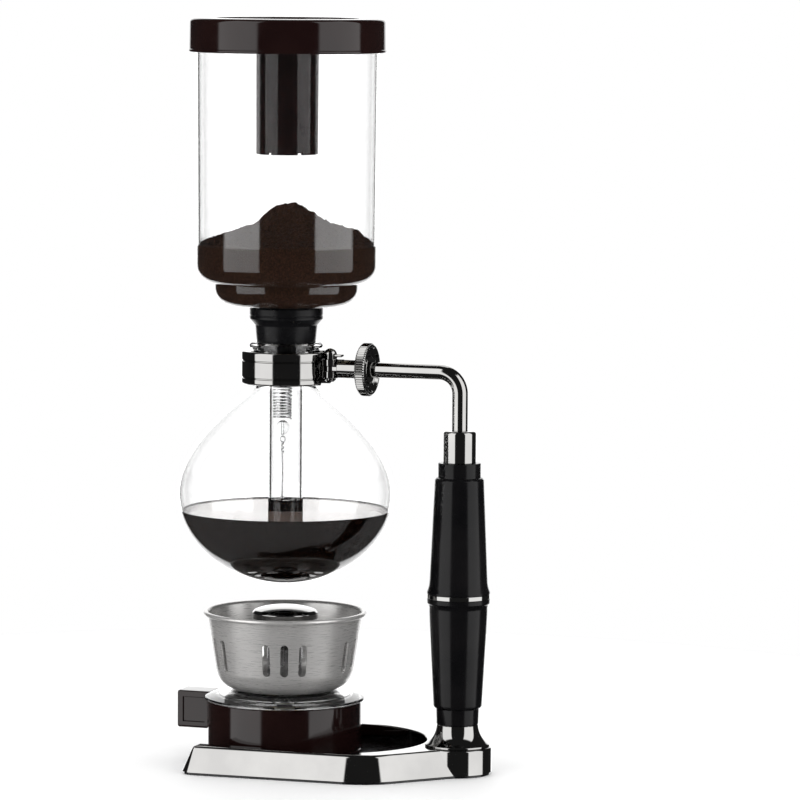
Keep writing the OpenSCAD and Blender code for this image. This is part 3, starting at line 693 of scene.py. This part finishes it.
def bowl():
    rim = GLASS_T / 2
    floor_z = BOWL_LOW + GLASS_T
    outline = [(STEM_R, STEM_END, 0.7), (STEM_R, BOWL_LOW, 0.8)] + bowl_wall(0)
    outline += arc(BOWL_R - rim, RIM_Z - rim, rim, 0, 180, 10) + bowl_wall(GLASS_T)[::-1]
    outline += [(STEM_IN, floor_z, 0.8), (STEM_IN, STEM_END, 0.7)]
    piece("bowl_glass", lathe(fillet(outline), 192), "upper", GLASS, "clear_glass", "bowl")


def stopper():
    bore = STEM_R + 0.02
    outline = [(bore, 178), (11.5, 178, 0.4), (12, 179, 0.4), (12, 185.5, 2), (13.2, 190, 1), (13.55, 192.5, 1)]
    outline += [(14.2, 199.3, 0.5), (15.4, 200.7, 0.8), (16.75, 202.2, 0.6), (16.75, 203.4, 0.15)]
    outline += [(16.5, 203.6), (16.5, 203.9), (16.75, 204.1, 0.15), (16.75, 207, 0.7)]
    outline += [(15.75, BOWL_LOW - 0.05, 0.4), (bore, BOWL_LOW - 0.05)]
    piece("stopper_rubber", lathe(fillet(outline)), "upper", RUBBER, "black_rubber", "gasket")


def heap_height(x, y):
    """Height of the loose coffee: a blunt mound on a gentle slope, a higher right side, and grains."""
    r = hypot(x, y)
    slope, mound_h, mound_r, mound_x = 0.36, 6.6, 12.5, 1.8
    z = GROUNDS_Z + (41.5 - hypot(r, 10)) * slope + mound_h * exp(-(hypot(x - mound_x, y) / mound_r) ** 4)
    high_side = radians(19)
    right = (x * cos(high_side) + y * sin(high_side)) / max(r, 1)
    reach = max(0, min(1, (r - 10) / 8)) * max(0, min(1, (40 - r) / 8))
    z += 2.4 * reach * max(0, right) ** 2
    clump_x, clump_y = 31, 11
    z += 1.3 * exp(-((x - clump_x) ** 2 + (y - clump_y) ** 2) / 8)
    z += 0.9 * noise.noise(Vector((x, y, 0)) / 6) + 0.8 * noise.noise(Vector((x, y, 4)) / 1.9)
    return z + 0.75 * noise.noise(Vector((x, y, 9)) / 0.75)


def coffee_grounds():
    """The heap, and the coffee pressed against the bowl's shoulder and foot."""
    wall = bowl_wall(GLASS_T - 0.06)
    wall_r = wall[-1][0]
    columns, rings = 512, 96
    cover_r, cover_z = 23.15, BOWL_LOW + GLASS_T + 2.9
    top_z = 235.4
    side = [(0, cover_z), (cover_r, cover_z), (cover_r, wall[0][1])] + wall
    side += [(wall_r, z) for z in range(229, 235)] + [(wall_r, top_z), (0, top_z)]
    points, faces = lathe(side, columns)
    # The outline's last point closes the body, and the heap takes its place
    points.pop()
    faces = [f for f in faces if max(f) < len(points)]
    row = list(range(len(points) - columns, len(points)))
    for i in range(rings):
        r = wall_r * (1 - i / rings)
        new_row = []
        for k in range(columns):
            t = 2 * pi * k / columns
            x, y = r * cos(t), r * sin(t)
            new_row.append(len(points))
            points.append((x, y, heap_height(x, y)))
        for k in range(columns):
            j = (k + 1) % columns
            faces.append([row[k], row[j], new_row[j], new_row[k]])
        row = new_row
    points.append((0, 0, heap_height(0, 0)))
    faces += [[row[k], row[(k + 1) % columns], len(points) - 1] for k in range(columns)]
    piece("ground_coffee", (points, faces), "upper", GROUNDS, "grounds", "coffee_grounds")


def stem_coffee():
    r = STEM_IN + 0.03
    outline = [(0, STEM_END + 0.6), (r, STEM_END + 0.6), (r, STEM_COFFEE_Z + 0.9)]
    outline += [(r - 0.4, STEM_COFFEE_Z + 0.4), (r - 1.2, STEM_COFFEE_Z), (0, STEM_COFFEE_Z)]
    piece("stem_coffee", lathe(outline, 96), "upper", COFFEE, "coffee")


def filter_parts():
    """The cloth over its disc, and the spring, bead, wire and hook in the stem."""
    floor_z = BOWL_LOW + GLASS_T
    z, top = floor_z + 0.9, floor_z + 2.8

    def gathers(t, r, height):
        return 0.25 * sin(40 * t) if height < z + 0.2 and r > 17 else 0

    cloth = [(0, z + 1.05), (22.1, z + 1.05), (22.1, z - 0.1), (17, z - 0.1), (17, floor_z + 0.1)]
    cloth += [(22.4, floor_z + 0.1, 0.5), (23, z, 0.4), (23, top, 0.6), (0, top)]
    piece("filter_cover", lathe(fillet(cloth, closed=False), 240, ripple=gathers),
          "upper", FILTER, "filter_cotton", "filter_cloth")

    turn_steps = 22
    coil, height = [], 0
    for i in range(31 * turn_steps):
        t = 2 * pi * i / turn_steps
        coil.append((CHAIN_X + 4.1 * cos(t), 4.1 * sin(t), 156 + height))
        height += (1.25 if height < 9 else 1.7) / turn_steps
    piece("pull_spring", tube([p for p in coil if p[2] < 205], 0.42, 8), "upper", STEEL, "steel", "filter_spring")

    bead = [(0.4, 148.8), (0.9, 148.7)] + arc(0, 151.9, 3.25, -70, 70, 18) + [(0.9, 155.1), (0.4, 155)]
    piece("glass_bead", lathe(bead, 64, (CHAIN_X, 0)), "upper", BEAD, "bead_glass", "filter_bead")

    wire = tube([(CHAIN_X + 0.12 * sin(h / 4), 0.12 * cos(h / 5), h) for h in range(97, 146)], 0.32, 10)
    loop = tube([(CHAIN_X + 1.2 * x, 0.15 * x, 146.6 + 1.3 * y) for x, y in arc(0, 0, 1, -90, 270, 28)], 0.3, 10)
    twist = tube([(CHAIN_X + 0.5 * cos(a), 0.5 * sin(a), 140.6 + 0.32 * a) for a in [i * 0.4 for i in range(36)]],
                 0.25, 8)
    links = [lathe(oval(0, 98.3 + 3 * i, 1.15, 1.05, -90, 90, 12), 32, (CHAIN_X, 0)) for i in range(8)]
    piece("filter_wire", joined(wire, loop, twist, *links), "upper", STEEL, "steel", "filter_chain")

    inner, outer, low = 4.6, STEM_R + 0.7, STEM_END - 0.8
    middle, bend = (inner + outer) / 2, (outer - inner) / 2
    path = [(CHAIN_X - 0.1, 0, 96.4), (-3.8, 0, 96.4), (-4.4, 0, 96.1), (-inner, 0, 95.5), (-inner, 0, low)]
    path += [(-middle + x, 0, low + h) for x, h in arc(0, 0, bend, 0, -180, 14)] + [(-outer, 0, low + 4)]
    piece("rim_hook", tube(path, 0.55, 12), "upper", STEEL, "steel", "filter_hook")


def lid():
    """The cap of the bowl, with the tube that receives the stem when the lid is its stand."""
    plate, recess = RIM_Z + 0.3, RIM_Z + 2.3
    inner = TUBE_R - 2
    skirt = BOWL_R + 0.85
    outline = [(0, plate), (inner, plate, 0.6), (inner, TUBE_END, 0.4), (TUBE_R - 0.2, TUBE_END, 0.4)]
    outline += [(TUBE_R, plate, 0.8), (skirt, plate, 0.5), (skirt, LID_LOW, 0.3)]
    outline += [(LID_R, LID_LOW, 0.5), (LID_R, LID_LOW + 1.1, 0.3), (LID_R - 0.3, LID_LOW + 1.5, 0.2)]
    outline += [(LID_R - 0.45, LID_TOP, 2), (34, LID_TOP, 0.5), (33, recess, 0.6), (0, recess)]
    obj = new_mesh("lid_cap", lathe(fillet(outline, closed=False), 192))
    notch = block((inner - 1, -1.2, TUBE_END - 1), (TUBE_R + 1, 1.2, TUBE_END + 1), 0.2)
    for i in range(6):
        carve(obj, moved(notch, Matrix.Rotation(radians(i * 60 + 15), 4, "Z")))
    finish_piece(obj, "lid", BROWN, ["lid"])


# ---------- Lamp ----------

def lamp_base():
    low, wall = 1.5, 2
    cup = [(0, low), (CUP_R, low, 0.9), (CUP_R, 4.1, 0.2), (CUP_R - 0.3, 4.4), (CUP_R - 0.3, 4.8)]
    cup += [(CUP_R, 5.1, 0.2), (CUP_R, CUP_TOP, 0.6), (CUP_R - wall, CUP_TOP, 0.3)]
    cup += [(CUP_R - wall, low + wall, 0.8), (0, low + wall)]
    tab = block((-CUP_R - 15, -6.5, 11.2), (-CUP_R + 1.5, 6.5, 28.5), 1.1, panel=2.4)
    piece("lamp_cup", joined(lathe(fillet(cup, closed=False)), tab), "lamp", BROWN, "brown_plastic", "lamp_base")


def reservoir():
    wall, floor_z, body_r = 2, 3.6, 33.5
    outline = [(0, floor_z), (body_r, floor_z, 3), (body_r, 26.5, 0.3), (37.25, 26.5, 0.5), (36.6, 27.9, 0.7)]
    outline += [(31, GLASS_TOP - 1.4, 3), (25, GLASS_TOP, 2), (11, GLASS_TOP, 0.4), (11, GLASS_TOP - wall, 0.4)]
    outline += [(24.6, GLASS_TOP - wall, 2), (30.4, GLASS_TOP - wall - 1.3, 2), (body_r - wall, 25.6, 1)]
    outline += [(body_r - wall, floor_z + wall, 2), (0, floor_z + wall)]
    piece("reservoir_glass", lathe(fillet(outline, closed=False), 192), "lamp", GLASS, "clear_glass",
          "fuel_reservoir")


def burner():
    """The collar, the wick's tube with its flange, and the braided wick."""
    ring = [(6.1, 29), (10.9, 29), (10.9, GLASS_TOP), (14, GLASS_TOP), (14, 31.28, 0.1), (6.1, 31.28)]
    piece("mouth_collar", lathe(fillet(ring), 96), "lamp", BRASS, "brass", "reservoir_collar")
    holder = [(4.8, 24), (6, 24), (6, 32.12), (12, 32.12, 0.3), (12, 33.5, 0.4), (8, 34.5, 0.8)]
    holder += [(8, 50, 0.4), (6, 52, 0.8), (6, HOLDER_TOP, 0.35), (4.8, HOLDER_TOP, 0.3)]
    piece("wick_tube", lathe(fillet(holder), 96), "lamp", STEEL, "steel", "wick_holder")

    def braid(t, r, z):
        return -0.16 * (1 - abs(sin(5 * t + z * 1.3)) * abs(sin(5 * t - z * 1.3))) if r > 2 else 0

    shaft = [(0, 8)] + [(4.7, 8 + 0.5 * i) for i in range(113)] + [(4.2, 64.9), (2.6, 65.2), (0, 65.1)]
    piece("wick_braid", lathe(shaft, 80, ripple=braid), "lamp", WICK, "wick_cotton", "wick")


def windshield():
    """A spun steel bowl with a rolled rim and five groups of three slots."""
    low, thick, corner, foot_r = GLASS_TOP + 0.3, 0.8, 11, 20.7
    lean, bead = 9, 1.1
    bead_c = (SHIELD_R - bead, SHIELD_TOP - bead)
    wall_r = SHIELD_R - 1.9
    outline = [(8, low)] + arc(foot_r, low + corner, corner, -90, -lean, 14) + [(wall_r, bead_c[1] - 0.3)]
    outline += arc(*bead_c, bead, -160, 160, 18) + [(wall_r - thick, bead_c[1] - 0.3)]
    outline += arc(foot_r, low + corner, corner - thick, -lean, -90, 14) + [(8, low + thick)]
    obj = new_mesh("windshield_bowl", lathe(outline, 180))
    half, slot_low, slot_top = 1.8, 41, 56
    inside, outside = 24, 42
    for group in range(5):
        for i in (-1, 0, 1):
            section = [(y, slot_low + half + z) for y, z in arc(0, 0, half, 180, 360, 10)]
            section += [(y, slot_top - half + z) for y, z in arc(0, 0, half, 0, 180, 10)]
            cutter = stacked([[(x, y, z) for y, z in section] for x in (inside, outside)])
            turn = radians(-70 + group * 72 + i * 14.7)
            carve(obj, moved(cutter, Matrix.Rotation(turn, 4, "Z")))
    finish_piece(obj, "lamp", SATIN, ["windshield"])


def snuffer():
    edge, sleeve = CAP_TOP - 6.2, 6.3
    outline = [(sleeve, 56.5), (sleeve + 1, 56.5, 0.2), (sleeve + 1, edge + 1.2), (CAP_R - 1.4, edge + 1.2)]
    outline += [(CAP_R - 1.2, edge, 0.2), (CAP_R, edge, 0.4), (CAP_R, edge + 2.8, 0.6)]
    outline += curve((CAP_R - 0.9, edge + 3.9), (11.5, CAP_TOP - 0.9), (6, CAP_TOP), (0, CAP_TOP), 18)
    outline += [(0, edge + 2.7), (sleeve, edge + 2.7)]
    piece("snuffer_dome", lathe(fillet(outline)), "snuffer", CHROME, "chrome", "snuffer_cap")


# ---------- The frame's own nodes that stay ----------

def carried_over():
    for material, names in (
            (MAT, ["base_floor"]),
            (STEEL, ["base_washer", "base_screw", "filter_disc"]),
            (CHROME, ["clamp_pin"]),
            (RUBBER, ["pad_front", "pad_rear"])):
        for name in names:
            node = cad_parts[name]
            if not node.material_slots:
                node.data.materials.append(material)
            for slot in node.material_slots:
                slot.material = material


# ---------- Studio ----------

CAMERA_AZ = 19        # degrees round the object from the front
TARGET = (0.0494, 0.017, 0.168)
STAND_POINT = (0.766, -2.063, 0.376)
LENS = 217
ROLL = 0.4


def camera():
    data = bpy.data.cameras.new("camera")
    data.lens = LENS
    data.sensor_width = 36
    obj = bpy.data.objects.new("camera", data)
    obj.location = STAND_POINT
    look = Vector(TARGET) - Vector(STAND_POINT)
    turn = look.to_track_quat("-Z", "Y").to_matrix() @ Matrix.Rotation(radians(ROLL), 3, "Z")
    obj.rotation_euler = turn.to_euler()
    bpy.context.scene.collection.objects.link(obj)
    bpy.context.scene.camera = obj


def studio_floor():
    """A pale disc under the object, kept out of the reflections."""
    radius, top, low = 430, TABLE_Z - 0.05, TABLE_Z - 3
    obj = new_mesh("floor", lathe([(0, top), (radius, top), (radius, low), (0, low)], 128))
    obj.data.materials.append(floor_finish())
    obj.visible_glossy = False


class World:
    """Builds the world's light from nodes: a white studio, two tall soft boxes and a backdrop."""

    def __init__(self):
        world = bpy.data.worlds.new("studio")
        bpy.context.scene.world = world
        world.use_nodes = True
        world.cycles.sampling_method = "NONE"
        self.nodes = world.node_tree.nodes
        self.links = world.node_tree.links
        self.background = self.nodes["Background"]

    def put(self, socket, value):
        if isinstance(value, (int, float)):
            socket.default_value = value
        else:
            self.links.new(value, socket)

    def math(self, operation, *values):
        node = self.nodes.new("ShaderNodeMath")
        node.operation = operation
        for socket, value in zip(node.inputs, values):
            self.put(socket, value)
        return node.outputs[0]

    def step(self, value, place, soft):
        """0 below a place and 1 above it, with a soft edge."""
        node = self.nodes.new("ShaderNodeMapRange")
        node.interpolation_type = "SMOOTHSTEP"
        node.inputs["From Min"].default_value = place - soft
        node.inputs["From Max"].default_value = place + soft
        self.links.new(value, node.inputs["Value"])
        return node.outputs["Result"]

    def between(self, value, low, high, soft=2.0):
        above = self.step(value, high, soft)
        return self.math("MULTIPLY", self.step(value, low, soft), self.math("SUBTRACT", 1, above))

    def build(self):
        coords = self.nodes.new("ShaderNodeTexCoord")
        parts = self.nodes.new("ShaderNodeSeparateXYZ")
        self.links.new(coords.outputs["Generated"], parts.inputs[0])
        x, y, z = parts.outputs
        c, s = cos(radians(CAMERA_AZ)), sin(radians(CAMERA_AZ))
        right = self.math("ADD", self.math("MULTIPLY", x, c), self.math("MULTIPLY", y, s))
        front = self.math("SUBTRACT", self.math("MULTIPLY", x, s), self.math("MULTIPLY", y, c))
        turn = self.math("MULTIPLY", self.math("ARCTAN2", right, front), degrees(1))
        rise = self.math("MULTIPLY", self.math("ARCSINE", z), degrees(1))

        height = self.between(rise, -18, 53, 4)
        left_box = self.math("MULTIPLY", self.between(turn, -86, -34), 2.6)
        right_box = self.math("MULTIPLY", self.between(turn, 38, 94), 2.5)
        boxes = self.math("MULTIPLY", self.math("ADD", left_box, right_box), height)
        behind = self.step(self.math("ABSOLUTE", turn), 155, 3)
        backdrop = self.math("MULTIPLY", self.math("MULTIPLY", behind, self.between(rise, -60, 75, 4)), 2)
        room = 0.03
        seen = self.math("ADD", self.math("ADD", boxes, backdrop), room)

        # Camera rays and rays through clear glass see plain white, and only mirrored ones see the boxes
        path = self.nodes.new("ShaderNodeLightPath")
        camera_ray, diffuse = path.outputs["Is Camera Ray"], path.outputs["Is Diffuse Ray"]
        unmirrored = self.math("LESS_THAN", path.outputs["Glossy Depth"], 0.5)
        clear = self.math("MULTIPLY", path.outputs["Is Transmission Ray"], unmirrored)
        direct = self.math("MAXIMUM", camera_ray, self.math("MULTIPLY", clear, 1.35))
        plain = self.math("MAXIMUM", self.math("MAXIMUM", camera_ray, clear), diffuse)
        mirrored = self.math("MULTIPLY", seen, self.math("SUBTRACT", 1, plain))
        ambient = self.math("ADD", 1.2, self.math("MULTIPLY", z, 0.1))
        total = self.math("ADD", self.math("ADD", direct, self.math("MULTIPLY", ambient, diffuse)), mirrored)
        self.background.inputs["Color"].default_value = (1, 1, 1, 1)
        self.links.new(total, self.background.inputs["Strength"])


def studio():
    World().build()
    studio_floor()
    camera()
    scene = bpy.context.scene
    scene.view_settings.view_transform = "Standard"
    scene.cycles.use_denoising = True
    scene.cycles.max_bounces = 20
    scene.cycles.transmission_bounces = 18
    scene.cycles.transparent_max_bounces = 12
    scene.cycles.caustics_reflective = False


base_frame()
handle()
arm()
clamp()
flask()
flask_coffee()
bowl()
stopper()
coffee_grounds()
stem_coffee()
filter_parts()
lid()
lamp_base()
reservoir()
burner()
windshield()
snuffer()
carried_over()
studio()
